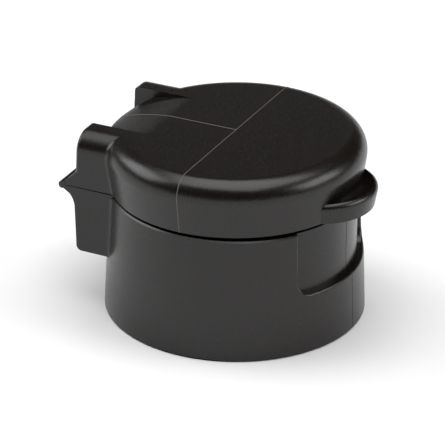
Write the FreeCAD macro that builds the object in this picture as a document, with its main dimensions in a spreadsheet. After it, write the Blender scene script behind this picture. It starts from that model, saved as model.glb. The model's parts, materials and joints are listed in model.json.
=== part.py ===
import math
import os

import FreeCAD
import Part
import Sketcher

# Screw-on pouring cap with a hinged lid.
# Frame: millimetres, +Z up, origin at the centre of the bottom rim.
# The hinge is at +Y and the thumb tab at -Y, so the plane X = 0 is the plane of symmetry.
# The lid is drawn shut and then turned a little about the hinge, because it rests slightly sprung.

SHEET = "Dimensions"

DIMENSIONS = {
    # how far a cut runs past the surface it opens
    "spare": 2.0,
    # base shell
    "base_bottom_radius": 23.0,
    "base_rim_radius": 22.15,
    "base_rim_z": 22.7,
    "shell_bore_radius": 20.1,
    "deck_bottom_z": 13.6,
    "deck_top_z": 15.0,
    "deck_ledge_radius": 18.4,
    "edge_break": 0.25,
    # finger recess in the base, under the tab
    "recess_wall_radius": 21.3,
    "recess_floor_z": 10.95,
    "recess_half_angle": 35.0,
    "recess_corner": 2.8,
    "recess_lip": 0.5,
    # hinge block, the same width on base and lid
    "block_width": 28.0,
    "block_face_y": 24.5,
    "block_foot_y": 24.15,
    "block_root_y": 15.0,
    "block_bottom_z": 10.75,
    "block_corner": 1.0,
    "block_join": 1.6,
    "flare_bottom_z": 18.9,
    "flare_radius": 3.7,
    "flange_top_z": 22.85,
    "flange_depth": 3.5,
    "flange_tip": 0.25,
    "flange_tip_drop": 0.66,
    # hinge bead
    "hinge_y": 26.95,
    "hinge_z": 22.85,
    "bead_radius": 0.7,
    "bead_clearance": 0.06,
    # lid
    "lid_bottom_z": 22.95,
    "lid_top_z": 33.05,
    "lid_bottom_radius": 21.95,
    "lid_shoulder_radius": 22.81,
    "lid_shoulder_z": 29.08,
    "lid_top_round": 3.5,
    "lid_top_radius": 19.34,
    "lid_bore_radius": 20.5,
    "lid_roof_z": 31.2,
    "lid_inner_round": 2.4,
    "lid_rest_angle": 0.7,
    # ears of the lid's hinge block
    "lid_block_root_y": 4.0,
    "ear_face_y": 24.6,
    "ear_crest_y": 24.15,
    "ear_side_round": 3.5,
    "ear_end_round": 0.8,
    "ear_flange_top_z": 25.45,
    "lid_tip": 0.45,
    "lid_tip_rise": 0.75,
    "lid_step": 0.1,
    "ear_pocket_inner_x": 9.6,
    "ear_pocket_outer_x": 12.4,
    "ear_pocket_root_y": 15.0,
    "ear_pocket_face_y": 22.9,
    "ear_pocket_top_z": 27.6,
    # notch between the ears
    "notch_width": 16.8,
    "notch_start_y": 12.6,
    "notch_edge_y": 21.6,
    "notch_edge_z": 31.3,
    "notch_floor_radius": 38.0,
    "notch_ease": 0.1,
    # thumb tab
    "tab_centre_y": 16.4,
    "tab_radius": 9.3,
    "tab_height": 3.7,
    "tab_flare": 11.0,
    "tab_rim_round": 1.0,
    "dish_radius": 2.3,
    "dish_offset": 7.2,
    "dish_depth": 1.15,
    # threaded sleeve, for a 38 mm continuous-thread neck
    "sleeve_outer_radius": 20.1,
    "thread_root_radius": 18.95,
    "thread_crest_radius": 17.75,
    "lead_radius": 19.3,
    "lead_top_z": 4.0,
    "sleeve_bottom_z": 0.0,
    "thread_start_z": 5.4,
    "thread_pitch": 4.233,
    "thread_height": 5.3,
    "thread_root_half": 0.9,
    "thread_crest_half": 0.35,
    "thread_bite": 0.2,
    # gasket
    "gasket_inner_radius": 16.4,
    "gasket_outer_radius": 18.7,
    "gasket_thickness": 1.2,
    # pour insert
    "insert_radius": 20.0,
    "insert_top_z": 24.2,
    "insert_wall": 1.4,
    "spout_outer_radius": 9.0,
    "spout_inner_radius": 7.7,
    "spout_top_z": 28.7,
    "lip_radius": 10.3,
    "lip_drop": 1.0,
    "lip_root_drop": 2.8,
    "lip_break": 0.5,
    # breather tube
    "breather_y": 14.2,
    "breather_outer_radius": 2.0,
    "breather_inner_radius": 1.2,
    "breather_bottom_z": 12.4,
    "breather_top_z": 24.0,
    # seals under the lid
    "holder_radius": 12.2,
    "holder_wall": 0.9,
    "holder_bottom_z": 28.4,
    "holder_plate_z": 29.9,
    "seal_radius": 11.2,
    "seal_face_z": 28.76,
    "spigot_radius": 6.9,
    "spigot_tip_radius": 6.2,
    "spigot_tip_z": 27.3,
    "post_radius": 1.7,
    "post_bite": 0.4,
    "vent_seal_radius": 2.5,
    "vent_seal_face_z": 24.06,
    "vent_seal_top_z": 25.2,
}

doc = FreeCAD.newDocument("pour_cap")
sheet = doc.addObject("Spreadsheet::Sheet", SHEET)
for row, (alias, value) in enumerate(DIMENSIONS.items(), start=1):
    cell = "B%d" % row
    sheet.set("A%d" % row, alias)
    sheet.set(cell, str(value))
    sheet.setAlias(cell, alias)
doc.recompute()


def size(alias):
    """The value of a dimension, read from the sheet."""
    return float(sheet.get(alias))


def bound(words):
    """An expression on the sheet: every bare dimension name gets the sheet's name in front."""
    out = []
    for word in words.replace("(", " ( ").replace(")", " ) ").split():
        out.append("%s.%s" % (SHEET, word) if word in DIMENSIONS else word)
    return " ".join(out)


def number(words):
    """The present value of such an expression, for a sketch's first guess."""
    names = {alias: size(alias) for alias in DIMENSIONS}
    total = 0.0
    sign = 1.0
    for word in words.split():
        if word in ("+", "-"):
            sign = 1.0 if word == "+" else -1.0
        else:
            total += sign * (names[word] if word in names else float(word))
    return total


def new_body(label):
    body = doc.addObject("PartDesign::Body", label + "_body")
    body.Label = label
    return body


def origin_part(body, role):
    return next(f for f in body.Origin.OriginFeatures if f.Role == role)


def new_sketch(body, name, plane, height=None):
    """A sketch on one of the body's own planes, lifted along the plane's normal if height is given."""
    sketch = body.newObject("Sketcher::SketchObject", name)
    sketch.AttachmentSupport = [(origin_part(body, plane), "")]
    sketch.MapMode = "FlatFace"
    if height is not None:
        sketch.setExpression("AttachmentOffset.Base.z", bound(height))
    return sketch


def pin_point(sketch, geo, end, across, up):
    """Ties a point of the sketch to a pair of expressions."""
    for kind, words in (("DistanceX", across), ("DistanceY", up)):
        index = sketch.addConstraint(Sketcher.Constraint(kind, -1, 1, geo, end, number(words)))
        sketch.setExpression("Constraints[%d]" % index, bound(words))


def outline(sketch, corners):
    """A closed outline. A corner is (across, up), or (across, up, radius, side) where the run to the
    next corner is an arc: side is +1 if the arc bulges to the left of the way it is walked, -1 if to
    the right."""
    spots = [FreeCAD.Vector(number(c[0]), number(c[1]), 0) for c in corners]
    for i, corner in enumerate(corners):
        start = spots[i]
        end = spots[(i + 1) % len(spots)]
        if len(corner) == 4:
            radius = number(corner[2])
            half = (end - start) * 0.5
            left = FreeCAD.Vector(-half.y, half.x, 0).normalize()
            depth = math.sqrt(max(radius ** 2 - half.Length ** 2, 0.0))
            middle = start + half + left * corner[3] * (radius - depth)
            ends = (start, end) if corner[3] < 0 else (end, start)
            sketch.addGeometry(Part.Arc(ends[0], middle, ends[1]), False)
        else:
            sketch.addGeometry(Part.LineSegment(start, end), False)
    starts = [1 if sketch.Geometry[i].StartPoint.distanceToPoint(spot) < 1e-6 else 2
              for i, spot in enumerate(spots)]
    for i, corner in enumerate(corners):
        following = (i + 1) % len(corners)
        if len(corner) == 4:
            index = sketch.addConstraint(Sketcher.Constraint("Radius", i, number(corner[2])))
            sketch.setExpression("Constraints[%d]" % index, bound(corner[2]))
        pin_point(sketch, i, starts[i], corner[0], corner[1])
        sketch.addConstraint(Sketcher.Constraint(
            "Coincident", i, 3 - starts[i], following, starts[following]))


def circle(sketch, across, up, radius):
    centre = FreeCAD.Vector(number(across), number(up), 0)
    geo = sketch.addGeometry(Part.Circle(centre, FreeCAD.Vector(0, 0, 1), number(radius)), False)
    index = sketch.addConstraint(Sketcher.Constraint("Radius", geo, number(radius)))
    sketch.setExpression("Constraints[%d]" % index, bound(radius))
    pin_point(sketch, geo, 3, across, up)


def turn(body, kind, sketch, angle=360.0):
    """A Revolution or Groove of a sketch about the body's Z axis, centred on its plane."""
    feature = body.newObject("PartDesign::" + kind, sketch.Name + "_turn")
    feature.Profile = sketch
    feature.ReferenceAxis = (origin_part(body, "Z_Axis"), [""])
    feature.Angle = angle
    feature.Midplane = angle < 360.0
    return feature


def pull(body, kind, sketch, length, both_ways=False, down=False, taper=None):
    """A Pad or Pocket of a sketch along its plane's normal."""
    feature = body.newObject("PartDesign::" + kind, sketch.Name + "_pull")
    feature.Profile = sketch
    feature.setExpression("Length", bound(length))
    feature.Midplane = both_ways
    feature.Reversed = down
    if taper is not None:
        feature.setExpression("TaperAngle", bound(taper))
    return feature


def edges_where(feature, test):
    """The names of the edges whose middle, ends and curve pass a test."""
    names = []
    for i, edge in enumerate(feature.Shape.Edges, start=1):
        middle = edge.valueAt((edge.FirstParameter + edge.LastParameter) / 2.0)
        if test(edge, middle):
            names.append("Edge%d" % i)
    return names


def soften(body, feature, kind, test, amount, name):
    """A Fillet or Chamfer on the edges that pass a test."""
    doc.recompute()
    names = edges_where(feature, test)
    if not names:
        raise RuntimeError("no edges for " + name)
    blend = body.newObject("PartDesign::" + kind, name)
    blend.Base = (feature, names)
    blend.setExpression("Radius" if kind == "Fillet" else "Size", bound(amount))
    doc.recompute()
    return blend


def near(value, target, slack=0.02):
    return abs(value - target) < slack


def rise(edge):
    """How far an edge climbs from end to end."""
    ends = [v.Point.z for v in edge.Vertexes]
    return max(ends) - min(ends)


def make_outer_skirt():
    """The base shell: tapered wall, inner ledge, hinge block with its lower flange, finger recess."""
    body = new_body("outer_skirt")

    wall = new_sketch(body, "skirt_wall", "XZ_Plane")
    outline(wall, [("0", "0"), ("base_bottom_radius - edge_break", "0"),
                   ("base_bottom_radius", "edge_break"),
                   ("base_rim_radius", "base_rim_z - edge_break"),
                   ("base_rim_radius - edge_break", "base_rim_z"), ("0", "base_rim_z")])
    turn(body, "Revolution", wall)

    side = new_sketch(body, "skirt_block", "YZ_Plane")
    outline(side, [("block_root_y", "block_bottom_z"), ("block_foot_y", "block_bottom_z"),
                   ("block_face_y", "flare_bottom_z"), ("block_face_y", "flange_top_z"),
                   ("block_root_y", "flange_top_z")])
    block = pull(body, "Pad", side, "block_width", both_ways=True)
    block = soften(body, block, "Fillet",
                   lambda e, m: near(m.z, size("block_bottom_z")) and near(m.y, size("block_foot_y")),
                   "block_corner", "skirt_block_corner")

    flange = new_sketch(body, "skirt_flange", "YZ_Plane")
    reach = size("flare_radius") * math.sqrt(0.5)
    bend_y = "block_face_y + %.4f" % (size("flare_radius") - reach)
    bend_z = "flare_bottom_z + %.4f" % reach
    outline(flange, [("hinge_y - flange_depth", "flange_top_z"),
                     ("hinge_y - flange_depth", "flare_bottom_z"),
                     ("block_face_y", "flare_bottom_z", "flare_radius", 1), (bend_y, bend_z),
                     ("hinge_y - flange_tip", "hinge_z - flange_tip_drop"), ("hinge_y", "flange_top_z")])
    flare = pull(body, "Pad", flange, "block_width", both_ways=True)
    soften(body, flare, "Fillet",
           lambda e, m: rise(e) > 5.0 and near(abs(m.x), size("block_width") / 2.0)
           and m.y < size("hinge_y") - 2.0 * size("flange_depth"),
           "block_join", "skirt_block_join")

    recess = new_sketch(body, "skirt_recess", "YZ_Plane")
    outline(recess, [("0 - recess_wall_radius", "recess_floor_z"),
                     ("0 - base_bottom_radius - spare", "recess_floor_z"),
                     ("0 - base_bottom_radius - spare", "base_rim_z + spare"),
                     ("0 - recess_wall_radius", "base_rim_z + spare")])
    scoop = turn(body, "Groove", recess, 2.0 * size("recess_half_angle"))

    def is_end_foot(edge, middle):
        return (near(middle.z, size("recess_floor_z")) and middle.y < 0.0 and abs(middle.x) > 9.0
                and edge.Length < 3.0)

    scoop = soften(body, scoop, "Fillet", is_end_foot, "recess_corner", "recess_corners")

    def is_outer_lip(edge, middle):
        out = math.hypot(middle.x, middle.y)
        low = size("recess_floor_z") - 0.1
        high = size("base_rim_z") - size("edge_break") - 0.1
        return (middle.y < -16.0 and low < middle.z < high and edge.Length > 1.0
                and size("base_rim_radius") - 0.2 < out < size("base_bottom_radius"))

    soften(body, scoop, "Fillet", is_outer_lip, "recess_lip", "recess_lips")

    bore = new_sketch(body, "skirt_bore", "XZ_Plane")
    outline(bore, [("0", "0 - spare"), ("shell_bore_radius", "0 - spare"),
                   ("shell_bore_radius", "deck_bottom_z"),
                   ("deck_ledge_radius", "deck_bottom_z"), ("deck_ledge_radius", "deck_top_z"),
                   ("shell_bore_radius", "deck_top_z"), ("shell_bore_radius", "flange_top_z + spare"),
                   ("0", "flange_top_z + spare")])
    turn(body, "Groove", bore)

    seat = new_sketch(body, "skirt_bead_seat", "YZ_Plane")
    circle(seat, "hinge_y", "hinge_z", "bead_radius")
    pull(body, "Pocket", seat, "block_width + spare", both_ways=True)
    return body


def make_threaded_sleeve():
    """The collar that screws onto the neck: a plain lead-in, then one and a quarter turns of thread."""
    body = new_body("threaded_sleeve")
    ring = new_sketch(body, "sleeve_ring", "XZ_Plane")
    outline(ring, [("lead_radius", "sleeve_bottom_z"), ("sleeve_outer_radius", "sleeve_bottom_z"),
                   ("sleeve_outer_radius", "deck_bottom_z"), ("thread_root_radius", "deck_bottom_z"),
                   ("thread_root_radius", "lead_top_z"), ("lead_radius", "lead_top_z")])
    turn(body, "Revolution", ring)
    ridge = new_sketch(body, "sleeve_thread", "XZ_Plane")
    outline(ridge, [("thread_root_radius + thread_bite", "thread_start_z - thread_root_half"),
                    ("thread_root_radius + thread_bite", "thread_start_z + thread_root_half"),
                    ("thread_crest_radius", "thread_start_z + thread_crest_half"),
                    ("thread_crest_radius", "thread_start_z - thread_crest_half")])
    helix = body.newObject("PartDesign::AdditiveHelix", "sleeve_thread_helix")
    helix.Profile = ridge
    helix.ReferenceAxis = (origin_part(body, "Z_Axis"), [""])
    helix.Mode = 0
    helix.setExpression("Pitch", bound("thread_pitch"))
    helix.setExpression("Height", bound("thread_height"))
    return body


def make_neck_gasket():
    """The foam ring that seals on the lip of the neck."""
    body = new_body("neck_gasket")
    ring = new_sketch(body, "gasket_ring", "XZ_Plane")
    outline(ring, [("gasket_inner_radius", "deck_bottom_z - gasket_thickness"),
                   ("gasket_outer_radius", "deck_bottom_z - gasket_thickness"),
                   ("gasket_outer_radius", "deck_bottom_z"), ("gasket_inner_radius", "deck_bottom_z")])
    turn(body, "Revolution", ring)
    return body


def make_pour_insert():
    """The deck with its rim wall, which makes the drain bowl, and the spout with a drip lip."""
    body = new_body("pour_insert")
    section = new_sketch(body, "insert_section", "XZ_Plane")
    outline(section, [("spout_inner_radius", "deck_bottom_z"), ("deck_ledge_radius", "deck_bottom_z"),
                      ("deck_ledge_radius", "deck_top_z"), ("insert_radius", "deck_top_z"),
                      ("insert_radius", "insert_top_z"),
                      ("insert_radius - insert_wall", "insert_top_z"),
                      ("insert_radius - insert_wall", "deck_top_z + insert_wall"),
                      ("spout_outer_radius", "deck_top_z + insert_wall"),
                      ("spout_outer_radius", "spout_top_z - lip_root_drop"),
                      ("lip_radius", "spout_top_z - lip_drop"), ("lip_radius", "spout_top_z - lip_break"),
                      ("lip_radius - lip_break", "spout_top_z"),
                      ("spout_inner_radius + lip_break", "spout_top_z"),
                      ("spout_inner_radius", "spout_top_z - lip_break")])
    deck = turn(body, "Revolution", section)
    soften(body, deck, "Fillet",
           lambda e, m: near(m.z, size("deck_top_z") + size("insert_wall"))
           or near(m.z, size("spout_top_z") - size("lip_root_drop")), "insert_wall", "insert_coves")
    hole = new_sketch(body, "insert_breather_hole", "XY_Plane", "deck_bottom_z")
    circle(hole, "0", "breather_y", "breather_outer_radius")
    pull(body, "Pocket", hole, "2 * (deck_top_z - deck_bottom_z + insert_wall) + spare", both_ways=True)
    return body


def make_tube(label, across, outer, inner, low, high):
    """A plain tube standing on the symmetry plane, as two cylinders and a cut."""
    cylinders = []
    for name, radius, spare in (("outer", outer, 0.0), ("inner", inner, 1.0)):
        shape = doc.addObject("Part::Cylinder", label + "_" + name)
        shape.setExpression("Radius", bound(radius))
        shape.setExpression("Height", bound("%s - %s + %g" % (high, low, 2 * spare)))
        shape.setExpression("Placement.Base.y", bound(across))
        shape.setExpression("Placement.Base.z", bound("%s - %g" % (low, spare)))
        cylinders.append(shape)
    cut = doc.addObject("Part::Cut", label + "_cut")
    cut.Base, cut.Tool = cylinders
    cut.Label = label
    return cut


def make_living_hinge():
    """The round bead at the tip of the two flanges, on the line the lid turns about."""
    bead = doc.addObject("Part::Cylinder", "living_hinge_bar")
    bead.Label = "living_hinge"
    bead.setExpression("Radius", bound("bead_radius"))
    bead.setExpression("Height", bound("block_width"))
    bead.Placement.Rotation = FreeCAD.Rotation(FreeCAD.Vector(0, 1, 0), 90)
    bead.setExpression("Placement.Base.x", bound("0 - block_width") + " / 2")
    bead.setExpression("Placement.Base.y", bound("hinge_y"))
    bead.setExpression("Placement.Base.z", bound("hinge_z"))
    return bead


def make_flip_lid():
    """The lid shell: thumb tab, round drum, hinge block with its two ears and flange, notch and hollow."""
    body = new_body("flip_lid")

    plan = new_sketch(body, "tab_plan", "XY_Plane", "lid_bottom_z")
    circle(plan, "0", "0 - tab_centre_y", "tab_radius")
    tab = pull(body, "Pad", plan, "tab_height", taper="tab_flare")
    tab_top = size("lid_bottom_z") + size("tab_height")
    tab = soften(body, tab, "Fillet", lambda e, m: near(m.z, tab_top), "tab_rim_round", "tab_rim")

    dish = new_sketch(body, "tab_dish", "YZ_Plane")
    dish_z = "lid_bottom_z + tab_height + dish_radius - dish_depth"
    circle(dish, "0 - tab_centre_y - dish_offset", dish_z, "dish_radius")
    axis = new_sketch(body, "tab_axis", "YZ_Plane")
    ends = [FreeCAD.Vector(-size("tab_centre_y"), size(z), 0) for z in ("lid_bottom_z", "lid_top_z")]
    line = axis.addGeometry(Part.LineSegment(*ends), False)
    pin_point(axis, line, 1, "0 - tab_centre_y", "lid_bottom_z")
    pin_point(axis, line, 2, "0 - tab_centre_y", "lid_top_z")
    scoop = body.newObject("PartDesign::Groove", "tab_dish_turn")
    scoop.Profile = dish
    scoop.ReferenceAxis = (axis, ["Edge1"])
    scoop.Angle = 360.0

    side = new_sketch(body, "lid_block", "YZ_Plane")
    outline(side, [("lid_block_root_y", "lid_bottom_z"), ("ear_face_y", "lid_bottom_z"),
                   ("ear_crest_y", "lid_top_z"), ("lid_block_root_y", "lid_top_z")])
    block = pull(body, "Pad", side, "block_width", both_ways=True)
    half = size("block_width") / 2.0
    block = soften(body, block, "Fillet",
                   lambda e, m: near(m.z, size("lid_top_z")) and near(abs(m.x), half),
                   "ear_side_round", "lid_block_sides")
    soften(body, block, "Fillet",
           lambda e, m: near(m.z, size("lid_top_z")) and near(m.y, size("ear_crest_y")),
           "ear_end_round", "lid_block_end")

    gap = new_sketch(body, "ear_gap", "YZ_Plane")
    outline(gap, [("lid_block_root_y - spare", "ear_flange_top_z"),
                  ("ear_face_y + spare", "ear_flange_top_z"),
                  ("ear_face_y + spare", "lid_top_z + spare"),
                  ("lid_block_root_y - spare", "lid_top_z + spare")])
    pull(body, "Pocket", gap, "notch_width", both_ways=True)

    drum = new_sketch(body, "lid_drum", "XZ_Plane")
    outline(drum, [("0", "lid_bottom_z"), ("lid_bottom_radius", "lid_bottom_z"),
                   ("lid_shoulder_radius", "lid_shoulder_z", "lid_top_round", -1),
                   ("lid_top_radius", "lid_top_z"), ("0", "lid_top_z")])
    shell = turn(body, "Revolution", drum)
    soften(body, shell, "Fillet",
           lambda e, m: rise(e) > 3.0 and near(abs(m.x), half, 0.1) and m.y < 20.0,
           "block_join", "lid_block_join")

    floor = new_sketch(body, "notch_floor", "YZ_Plane")
    outline(floor, [("notch_start_y", "lid_top_z", "notch_floor_radius", 1),
                    ("notch_edge_y", "notch_edge_z"),
                    ("ear_face_y + spare", "notch_edge_z - spare"),
                    ("ear_face_y + spare", "lid_top_z + spare"),
                    ("notch_start_y", "lid_top_z + spare")])
    pull(body, "Pocket", floor, "notch_width + notch_ease", both_ways=True)

    flange = new_sketch(body, "lid_flange", "YZ_Plane")
    outline(flange, [("lid_bottom_radius - flange_depth", "lid_bottom_z"), ("hinge_y", "lid_bottom_z"),
                     ("hinge_y", "hinge_z + bead_radius"),
                     ("hinge_y - lid_tip", "hinge_z + lid_tip_rise"),
                     ("ear_face_y - lid_step", "ear_flange_top_z"),
                     ("lid_bottom_radius - flange_depth", "ear_flange_top_z")])
    pull(body, "Pad", flange, "block_width", both_ways=True)

    hollow = new_sketch(body, "lid_hollow", "XZ_Plane")
    outline(hollow, [("0", "lid_bottom_z - spare"), ("lid_bore_radius", "lid_bottom_z - spare"),
                     ("lid_bore_radius", "lid_roof_z - lid_inner_round", "lid_inner_round", -1),
                     ("lid_bore_radius - lid_inner_round", "lid_roof_z"), ("0", "lid_roof_z")])
    turn(body, "Groove", hollow)

    for hand, sign in (("left", "0 - "), ("right", "0 + ")):
        core = new_sketch(body, "ear_pocket_" + hand, "XY_Plane", "lid_bottom_z")
        outline(core, [(sign + "ear_pocket_inner_x", "ear_pocket_root_y"),
                       (sign + "ear_pocket_outer_x", "ear_pocket_root_y"),
                       (sign + "ear_pocket_outer_x", "ear_pocket_face_y"),
                       (sign + "ear_pocket_inner_x", "ear_pocket_face_y")])
        pull(body, "Pocket", core, "ear_pocket_top_z - lid_bottom_z", down=True)

    seat = new_sketch(body, "lid_bead_seat", "YZ_Plane")
    circle(seat, "hinge_y", "hinge_z", "bead_radius + bead_clearance")
    pull(body, "Pocket", seat, "block_width + spare", both_ways=True)

    post = new_sketch(body, "vent_post", "XY_Plane", "vent_seal_top_z")
    circle(post, "0", "breather_y", "post_radius")
    pull(body, "Pad", post, "lid_roof_z - vent_seal_top_z + post_bite")
    return body


def make_seal_holder():
    """The disc under the lid's roof, with a short wall that keeps the mouth seal centred."""
    body = new_body("seal_holder")
    section = new_sketch(body, "holder_section", "XZ_Plane")
    outline(section, [("0", "holder_plate_z"), ("holder_radius - holder_wall", "holder_plate_z"),
                      ("holder_radius - holder_wall", "holder_bottom_z"),
                      ("holder_radius", "holder_bottom_z"), ("holder_radius", "lid_roof_z"),
                      ("0", "lid_roof_z")])
    turn(body, "Revolution", section)
    return body


def make_mouth_seal():
    """The soft disc that closes on the spout's lip, with a spigot that finds the bore."""
    body = new_body("mouth_seal")
    section = new_sketch(body, "seal_section", "XZ_Plane")
    outline(section, [("0", "spigot_tip_z"), ("spigot_tip_radius", "spigot_tip_z"),
                      ("spigot_radius", "seal_face_z"), ("seal_radius", "seal_face_z"),
                      ("seal_radius", "holder_plate_z"), ("0", "holder_plate_z")])
    turn(body, "Revolution", section)
    return body


def make_vent_seal():
    """The soft pad at the foot of the lid's post, over the breather tube."""
    pad = doc.addObject("Part::Cylinder", "vent_seal_pad")
    pad.Label = "vent_seal"
    pad.setExpression("Radius", bound("vent_seal_radius"))
    pad.setExpression("Height", bound("vent_seal_top_z - vent_seal_face_z"))
    return pad


def rest_on_hinge(piece, y=0.0, z=0.0):
    """Turns a lid piece from shut to its sprung rest position about the hinge line."""
    tilt = FreeCAD.Rotation(FreeCAD.Vector(1, 0, 0), -size("lid_rest_angle"))
    lift = FreeCAD.Placement(FreeCAD.Vector(), tilt, FreeCAD.Vector(0, size("hinge_y"), size("hinge_z")))
    piece.Placement = lift.multiply(FreeCAD.Placement(FreeCAD.Vector(0, y, z), FreeCAD.Rotation()))


base_pieces = [
    make_outer_skirt(),
    make_threaded_sleeve(),
    make_neck_gasket(),
    make_pour_insert(),
    make_tube("breather_tube", "breather_y", "breather_outer_radius", "breather_inner_radius",
              "breather_bottom_z", "breather_top_z"),
    make_living_hinge(),
]
lid_pieces = [make_flip_lid(), make_seal_holder(), make_mouth_seal(), make_vent_seal()]
doc.recompute()
for piece in lid_pieces[:3]:
    rest_on_hinge(piece)
rest_on_hinge(lid_pieces[3], size("breather_y"), size("vent_seal_face_z"))
doc.recompute()

failed = [item.Name for item in doc.Objects if "Invalid" in item.State or "Error" in item.State]
if failed:
    raise RuntimeError("failed objects: " + ", ".join(failed))
os.makedirs("parts", exist_ok=True)
for piece in base_pieces + lid_pieces:
    shape = piece.Shape
    if shape.isNull() or not shape.isValid() or len(shape.Solids) != 1:
        raise RuntimeError("bad shape: " + piece.Label)
    print("%-16s %8.1f mm3" % (piece.Label, shape.Volume))
for piece in base_pieces + lid_pieces:
    piece.Shape.exportStep(os.path.join("parts", piece.Label + ".step"))
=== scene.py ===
import json
import math

import bmesh
import bpy
from mathutils import Euler, Matrix, Vector


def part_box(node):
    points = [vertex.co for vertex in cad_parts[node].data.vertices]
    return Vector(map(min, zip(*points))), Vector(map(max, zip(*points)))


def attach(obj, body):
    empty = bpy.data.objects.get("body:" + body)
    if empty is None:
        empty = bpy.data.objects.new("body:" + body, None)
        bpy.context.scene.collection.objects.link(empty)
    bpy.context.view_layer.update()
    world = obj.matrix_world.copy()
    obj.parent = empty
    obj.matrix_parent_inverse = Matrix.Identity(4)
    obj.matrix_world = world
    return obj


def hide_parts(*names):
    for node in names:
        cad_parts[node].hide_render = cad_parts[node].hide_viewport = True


# Screw-on pouring cap with a hinged lid, dressed over its CAD frame.
# Metres, +Z up, hinge at +Y, thumb tab at -Y.

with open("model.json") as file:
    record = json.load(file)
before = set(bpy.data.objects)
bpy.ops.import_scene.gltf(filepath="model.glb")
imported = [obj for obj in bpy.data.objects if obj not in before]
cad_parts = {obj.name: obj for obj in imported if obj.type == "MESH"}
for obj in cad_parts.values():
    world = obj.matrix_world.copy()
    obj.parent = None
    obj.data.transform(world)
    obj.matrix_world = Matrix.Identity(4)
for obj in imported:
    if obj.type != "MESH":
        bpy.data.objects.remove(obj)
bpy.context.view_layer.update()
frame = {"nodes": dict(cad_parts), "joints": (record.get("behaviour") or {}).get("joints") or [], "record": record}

MM = 0.001

# The lid rests a little open on its hinge, so its own axis leans by this much.
LID_REST_ANGLE = math.radians(0.7)
HINGE = Vector(frame["joints"][0]["pos_m"])

# Edges that turn more than this stay crisp, and the rest shade as one curved face.
CRISP_ANGLE = math.radians(24.0)

# Vertices closer than this are the same corner, written once for each triangle that meets there.
SAME_CORNER = 0.002 * MM
# How close to a cutting plane a vertex counts as on it.
ON_PLANE = 1e-8

# Witness lines are hairline ridges left where the halves of the mould meet. Their crest stands
# proud of the wall, and their two edges are sunk into it by a share of that height.
WITNESS_WIDTH = 0.24 * MM
WITNESS_HEIGHT = 0.05 * MM
WITNESS_SINK_SHARE = 0.3
WITNESS_CREST_SHARE = 0.1


def linear(hex_colour):
    """The linear RGBA of an sRGB hex colour."""
    channels = [int(hex_colour[i:i + 2], 16) / 255.0 for i in (1, 3, 5)]
    return [c / 12.92 if c <= 0.04045 else ((c + 0.055) / 1.055) ** 2.4 for c in channels] + [1.0]


def add_node(tree, kind, settings=None, inputs=None):
    """A node with its settings, and with each input either set or linked."""
    node = tree.nodes.new(kind)
    for name, value in (settings or {}).items():
        setattr(node, name, value)
    for name, value in (inputs or {}).items():
        if isinstance(value, bpy.types.NodeSocket):
            tree.links.new(value, node.inputs[name])
        else:
            node.inputs[name].default_value = value
    return node


def new_material(name):
    material = bpy.data.materials.new(name)
    material.use_nodes = True
    material.node_tree.nodes.clear()
    return material, material.node_tree


# The cooling wall of a moulding sinks and swells over about this distance.
SINK_SPACING_MM = 9.0
# The grain of the mould makes the gloss vary this much to either side of its middle value.
GLOSS_SPREAD = 0.04


def moulded_plastic(name, colour, ior, roughness, grain_mm, grain_depth_mm, sink_mm):
    """Injection-moulded plastic: one body colour, the fine grain of an eroded mould, and the slow
    unevenness that the cooling wall leaves."""
    material, tree = new_material(name)
    place = add_node(tree, "ShaderNodeTexCoord")
    grain = add_node(tree, "ShaderNodeTexNoise", inputs={
        "Vector": place.outputs["Object"], "Scale": 1.0 / (grain_mm * MM), "Detail": 3.0})
    sink = add_node(tree, "ShaderNodeTexNoise", inputs={
        "Vector": place.outputs["Object"], "Scale": 1.0 / (SINK_SPACING_MM * MM),
        "Detail": 1.0})
    gloss = add_node(tree, "ShaderNodeMapRange", inputs={
        "Value": grain.outputs["Fac"], "From Min": 0.3, "From Max": 0.7,
        "To Min": roughness - GLOSS_SPREAD, "To Max": roughness + GLOSS_SPREAD})
    waves = add_node(tree, "ShaderNodeBump", inputs={
        "Height": sink.outputs["Fac"], "Strength": 1.0, "Distance": sink_mm * MM})
    bumps = add_node(tree, "ShaderNodeBump", inputs={
        "Height": grain.outputs["Fac"], "Strength": 1.0, "Distance": grain_depth_mm * MM,
        "Normal": waves.outputs["Normal"]})
    shader = add_node(tree, "ShaderNodeBsdfPrincipled", inputs={
        "Base Color": linear(colour), "IOR": ior, "Roughness": gloss.outputs["Result"],
        "Normal": bumps.outputs["Normal"]})
    add_node(tree, "ShaderNodeOutputMaterial", inputs={"Surface": shader.outputs["BSDF"]})
    return material


def closed_cell_foam(name, colour):
    """Skived polyethylene foam: pale, matte, with small cut cells."""
    cell_mm = 0.4
    cell_depth_mm = 0.06
    material, tree = new_material(name)
    place = add_node(tree, "ShaderNodeTexCoord")
    cells = add_node(tree, "ShaderNodeTexVoronoi", inputs={
        "Vector": place.outputs["Object"], "Scale": 1.0 / (cell_mm * MM)})
    bumps = add_node(tree, "ShaderNodeBump", inputs={
        "Height": cells.outputs["Distance"], "Strength": 0.6,
        "Distance": cell_depth_mm * MM})
    shader = add_node(tree, "ShaderNodeBsdfPrincipled", inputs={
        "Base Color": linear(colour), "IOR": 1.5, "Roughness": 0.85,
        "Normal": bumps.outputs["Normal"]})
    add_node(tree, "ShaderNodeOutputMaterial", inputs={"Surface": shader.outputs["BSDF"]})
    return material


# Black polypropylene from a fine-eroded mould: nearly black, satin, with soft broad highlights.
black_polypropylene = moulded_plastic("black_polypropylene_satin_moulded", "#110c09", 1.49, 0.3,
                                      0.3, 0.003, 0.01)
# The hairline of flash on a witness line is given a paler grey than the wall it stands on. This is a
# painted highlight for the light that its ridge catches.
painted_highlight_flash = moulded_plastic("black_polypropylene_rubbed_flash", "#55504d", 1.49, 0.45,
                               0.3, 0.003, 0.0)
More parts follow.
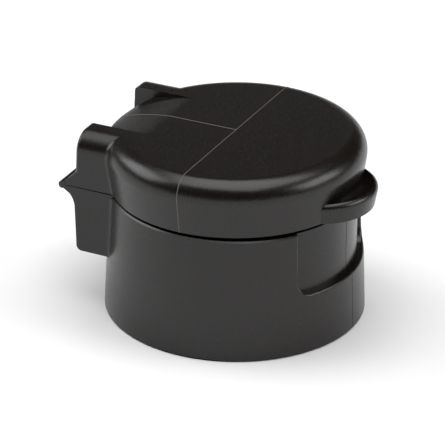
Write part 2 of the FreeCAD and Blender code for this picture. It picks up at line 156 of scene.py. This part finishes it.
# The liner parts come from a polished mould, so they look a little glossier and cooler.
black_liner_plastic = moulded_plastic("black_liner_plastic_polished_mould", "#161616", 1.49, 0.28,
                                      0.5, 0.002, 0.01)
# Thermoplastic elastomer: soft mid grey with hardly any gloss.
grey_elastomer = moulded_plastic("grey_elastomer_matte", "#7c7d80", 1.5, 0.62, 0.4, 0.004, 0.0)
# Foam gasket: off-white and dull.
foam_gasket = closed_cell_foam("foam_gasket_skived", "#e8e6df")

FINISHES = {
    "black_polypropylene": black_polypropylene,
    "black_liner_plastic": black_liner_plastic,
    "grey_elastomer": grey_elastomer,
    "foam_gasket": foam_gasket,
}


def put_in_scene(shape, name, finish, body, look=None):
    """Makes an object of a bmesh, in a finish or a variant look of it, that moves with a body."""
    mesh = bpy.data.meshes.new(name)
    shape.to_mesh(mesh)
    shape.free()
    mesh.materials.append(look or FINISHES[finish])
    piece = bpy.data.objects.new(name, mesh)
    bpy.context.scene.collection.objects.link(piece)
    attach(piece, body)
    return piece


def merged(node_name):
    """A CAD node's surface with its loose triangles joined, its curved faces shaded as one and its
    real edges kept crisp."""
    shape = bmesh.new()
    shape.from_mesh(frame["nodes"][node_name].data)
    bmesh.ops.remove_doubles(shape, verts=shape.verts, dist=SAME_CORNER)
    for face in shape.faces:
        face.smooth = True
    for edge in shape.edges:
        edge.smooth = len(edge.link_faces) == 2 and edge.calc_face_angle() < CRISP_ANGLE
    return shape


def dress(node_name, finish, body):
    """The shown surface of a CAD node."""
    piece = put_in_scene(merged(node_name), node_name + "_moulding", finish, body)
    shading = piece.modifiers.new("even_shading", "WEIGHTED_NORMAL")
    shading.keep_sharp = True
    shading.weight = 100
    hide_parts(node_name)
    return piece


def cut(shape, through, across, drop_ahead=False, drop_behind=False):
    """Cuts a surface along a plane, and may drop what lies ahead of it or behind it."""
    bmesh.ops.bisect_plane(shape, geom=shape.verts[:] + shape.edges[:] + shape.faces[:],
                           plane_co=through, plane_no=across, dist=ON_PLANE,
                           clear_outer=drop_ahead, clear_inner=drop_behind)


def witness_line(name, node_name, through, across, keep, body, look=None, start=None):
    """A hairline ridge on a CAD node's outside where a plane cuts it, ahead of the start plane if
    there is one. keep says, from a face's middle and normal, whether it is outside."""
    shape = merged(node_name)
    if start is not None:
        cut(shape, *start, drop_behind=True)
    half = across * (WITNESS_WIDTH / 2.0)
    cut(shape, through - half, across, drop_behind=True)
    cut(shape, through, across)
    cut(shape, through + half, across, drop_ahead=True)
    shape.normal_update()
    gone = [f for f in shape.faces if not keep(f.calc_center_median(), f.normal)]
    bmesh.ops.delete(shape, geom=gone, context="FACES")
    bmesh.ops.remove_doubles(shape, verts=shape.verts, dist=SAME_CORNER)
    shape.normal_update()
    for vert in shape.verts:
        crest = abs((vert.co - through).dot(across)) < WITNESS_WIDTH * WITNESS_CREST_SHARE
        lift = WITNESS_HEIGHT if crest else -WITNESS_HEIGHT * WITNESS_SINK_SHARE
        vert.co += vert.normal * lift
    for face in shape.faces:
        face.smooth = False
    return put_in_scene(shape, name, "black_polypropylene", body, look)


SLOTS = {part["node"]: part["material_slot"] for part in frame["record"]["subparts"]}
for body, members in frame["record"]["behaviour"]["bodies"].items():
    for node in members:
        dress(node, SLOTS[node], body)

lean = (Matrix.Translation(HINGE) @ Matrix.Rotation(-LID_REST_ANGLE, 4, "X")
        @ Matrix.Translation(-HINGE))
lid_low, lid_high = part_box("flip_lid")
base_low, base_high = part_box("outer_skirt")
lid_top_middle = lean @ Vector((0.0, 0.0, lid_high.z))
lid_across = (lean.to_3x3() @ Vector((0.0, 1.0, 0.0))).normalized()
SIDEWAYS = Vector((1.0, 0.0, 0.0))
MIDDLE = Vector((0.0, 0.0, 0.0))

# These tell the outside of a wall from its inside, by where a face is.
LID_UPPER_PART = lid_low.z + 5.0 * MM
LID_SIDE_REACH = lid_high.x - 3.0 * MM
BASE_FRONT_REACH = base_low.y + 2.5 * MM
BASE_BEVEL_TOP = base_low.z + 0.3 * MM


def on_lid_outside(at, out):
    on_top = out.z > 0.5 and at.z > LID_UPPER_PART
    on_side = out.x * at.x > 0.0 and abs(at.x) > LID_SIDE_REACH and abs(out.z) < 0.9
    return on_top or on_side


def on_lid_back_top(at, out):
    return out.z > 0.3 and at.y > 0.0 and at.z > LID_UPPER_PART


def on_base_front(at, out):
    return out.y < -0.3 and at.y < BASE_FRONT_REACH and at.z > BASE_BEVEL_TOP


# The two witness lines on the lid wear the paler flash grey, a painted highlight; the one on the base keeps the
# body colour.
witness_line("witness_line_across_lid", "flip_lid", lid_top_middle, lid_across,
             on_lid_outside, "lid", painted_highlight_flash)
witness_line("witness_line_to_notch", "flip_lid", MIDDLE, SIDEWAYS,
             on_lid_back_top, "lid", painted_highlight_flash, (lid_top_middle, lid_across))
witness_line("witness_line_front_of_base", "outer_skirt", MIDDLE, SIDEWAYS,
             on_base_front, "base")


# The stage: a pale floor with a low pale wall round it, a softbox overhead, one on the hinge side
# and one on the tab side, and a dim strip behind.
FLOOR_RADIUS = 2.4
WALL_HEIGHT = 0.2
FLOOR_SIDES = 96


def matte(name, colour):
    """Pale matte paint with the faint mottle of a roller."""
    mottle_mm = 8.0
    mottle_depth_mm = 0.05
    material, tree = new_material(name)
    place = add_node(tree, "ShaderNodeTexCoord")
    mottle = add_node(tree, "ShaderNodeTexNoise", inputs={
        "Vector": place.outputs["Object"], "Scale": 1.0 / (mottle_mm * MM)})
    bumps = add_node(tree, "ShaderNodeBump", inputs={
        "Height": mottle.outputs["Fac"], "Strength": 0.1,
        "Distance": mottle_depth_mm * MM})
    shader = add_node(tree, "ShaderNodeBsdfPrincipled", inputs={
        "Base Color": linear(colour), "Roughness": 0.9, "Specular IOR Level": 0.1,
        "Normal": bumps.outputs["Normal"]})
    add_node(tree, "ShaderNodeOutputMaterial", inputs={"Surface": shader.outputs["BSDF"]})
    return material


def studio():
    """The floor and the wall round it, in one piece."""
    shape = bmesh.new()
    bmesh.ops.create_circle(shape, cap_ends=True, segments=FLOOR_SIDES, radius=FLOOR_RADIUS)
    rim = [e for e in shape.edges if e.is_boundary]
    raised = bmesh.ops.extrude_edge_only(shape, edges=rim)["geom"]
    bmesh.ops.translate(shape, verts=[v for v in raised if isinstance(v, bmesh.types.BMVert)],
                        vec=(0.0, 0.0, WALL_HEIGHT))
    mesh = bpy.data.meshes.new("studio_floor")
    shape.to_mesh(mesh)
    shape.free()
    mesh.materials.append(matte("pale_matte_paint", "#f4f4f4"))
    floor = bpy.data.objects.new("studio_floor", mesh)
    bpy.context.scene.collection.objects.link(floor)


def softbox(name, place, aim, width, height, watts):
    """A rectangular area light, in metres and watts, turned towards a point."""
    light = bpy.data.lights.new(name, "AREA")
    light.shape = "RECTANGLE"
    light.size = width
    light.size_y = height
    light.energy = watts
    lamp = bpy.data.objects.new(name, light)
    bpy.context.scene.collection.objects.link(lamp)
    lamp.location = place
    lamp.rotation_euler = (Vector(aim) - Vector(place)).to_track_quat("-Z", "Y").to_euler()


def dim_room(strength):
    """The nearly dark room beyond the stage, which keeps the lid's top dark."""
    world = bpy.data.worlds.new("dim_room")
    bpy.context.scene.world = world
    world.use_nodes = True
    world.node_tree.nodes.clear()
    glow = add_node(world.node_tree, "ShaderNodeBackground", inputs={
        "Color": linear("#ffffff"), "Strength": strength})
    add_node(world.node_tree, "ShaderNodeOutputWorld", inputs={
        "Surface": glow.outputs["Background"]})


studio()
dim_room(0.012)
softbox("softbox_overhead", (0.0, 0.0, 2.2), (0.0, 0.0, 0.0), 2.4, 2.4, 54.0)
softbox("softbox_hinge_side", (-0.3, 1.7, 1.25), (0.0, 0.0, 0.0), 1.6, 1.1, 22.0)
softbox("softbox_tab_side", (0.5, -1.7, 1.0), (0.0, 0.0, 0.0), 1.4, 0.9, 17.0)
softbox("strip_behind", (1.70, 1.08, 0.58), (0.0, 0.0, 0.03), 1.5, 0.12, 0.6)

# The camera looks down at the cap from the -X side, with a long lens from well back.
CAMERA_DISTANCE = 0.7085
CAMERA_BEARING = math.radians(-64.11)
CAMERA_ELEVATION = math.radians(27.68)
CAMERA_ROLL = math.radians(0.596)
CAMERA_LENS_MM = 323.6
CAMERA_SENSOR_MM = 36.0
CAMERA_CLIP_START = 0.05
AIM = Vector((4.62, 4.84, 12.24)) * MM


def camera():
    lens = bpy.data.cameras.new("camera")
    lens.sensor_width = CAMERA_SENSOR_MM
    lens.lens = CAMERA_LENS_MM
    lens.clip_start = CAMERA_CLIP_START
    view = bpy.data.objects.new("camera", lens)
    bpy.context.scene.collection.objects.link(view)
    flat = CAMERA_DISTANCE * math.cos(CAMERA_ELEVATION)
    place = Vector((flat * math.sin(CAMERA_BEARING), -flat * math.cos(CAMERA_BEARING),
                    CAMERA_DISTANCE * math.sin(CAMERA_ELEVATION)))
    level = (AIM - place).to_track_quat("-Z", "Y").to_matrix()
    turn = level @ Euler((0.0, 0.0, CAMERA_ROLL)).to_matrix()
    view.matrix_world = Matrix.Translation(place) @ turn.to_4x4()
    bpy.context.scene.camera = view


camera()
bpy.context.scene.view_settings.view_transform = "Standard"
